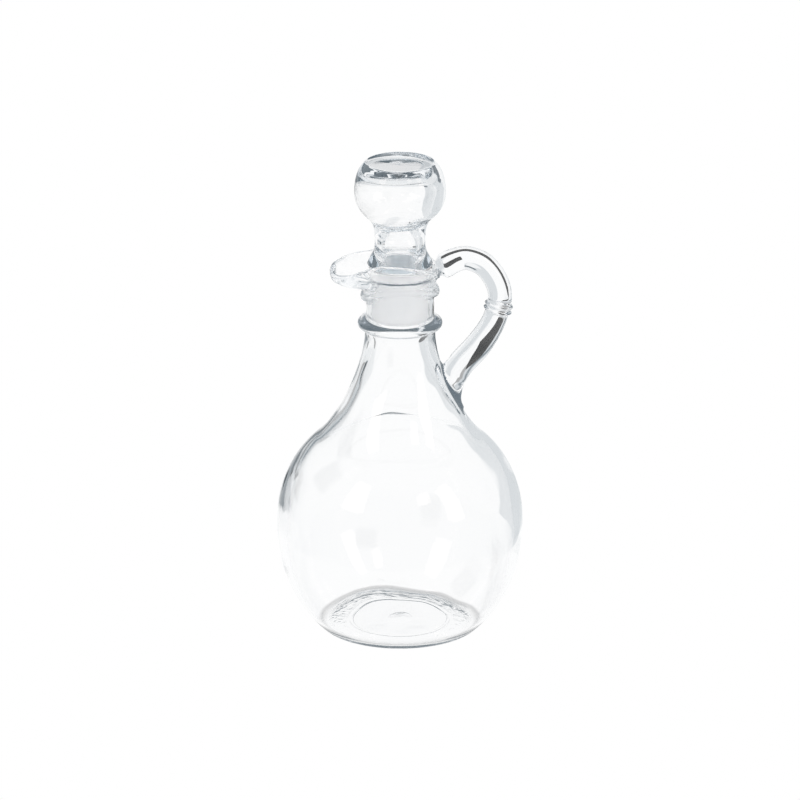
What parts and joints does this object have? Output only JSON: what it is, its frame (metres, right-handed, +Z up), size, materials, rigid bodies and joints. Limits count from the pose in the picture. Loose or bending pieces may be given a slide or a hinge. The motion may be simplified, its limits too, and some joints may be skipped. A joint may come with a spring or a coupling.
{
  "type": "glass cruet bottle",
  "caption": "Clear glass oil or vinegar cruet with a round belly, pinched pouring lip, loop handle and a ball-headed glass stopper.",
  "frame": {"origin": "centre of the bottle's foot, on the surface it stands on", "axes": "+Z up along the bottle's axis, the pouring lip points to -X and the handle is on +X"},
  "size_m": [0.0916, 0.0916, 0.18],
  "materials": {
    "bottle_glass": "clear pressed and blown glass, fire-polished",
    "stopper_glass": "clear hollow blown glass with a thick flat crown, fire-polished",
    "sleeve_plastic": "milky translucent soft polyethylene"
  },
  "bodies": {
    "bottle": {"bottle_body": "bottle_glass", "handle": "bottle_glass"},
    "sleeve": {"stopper_sleeve": "sleeve_plastic"},
    "stopper": {"stopper_glass": "stopper_glass"}
  },
  "joints": [
    {"name": "stopper_lift", "type": "slide", "parent": "bottle", "child": "sleeve", "axis": [0, 0, 1], "range_m": [0, 0.06]},
    {"name": "stopper_twist", "type": "hinge", "parent": "sleeve", "child": "stopper", "pos_m": [0, 0, 0.15], "axis": [0, 0, 1], "continuous": true}
  ]
}
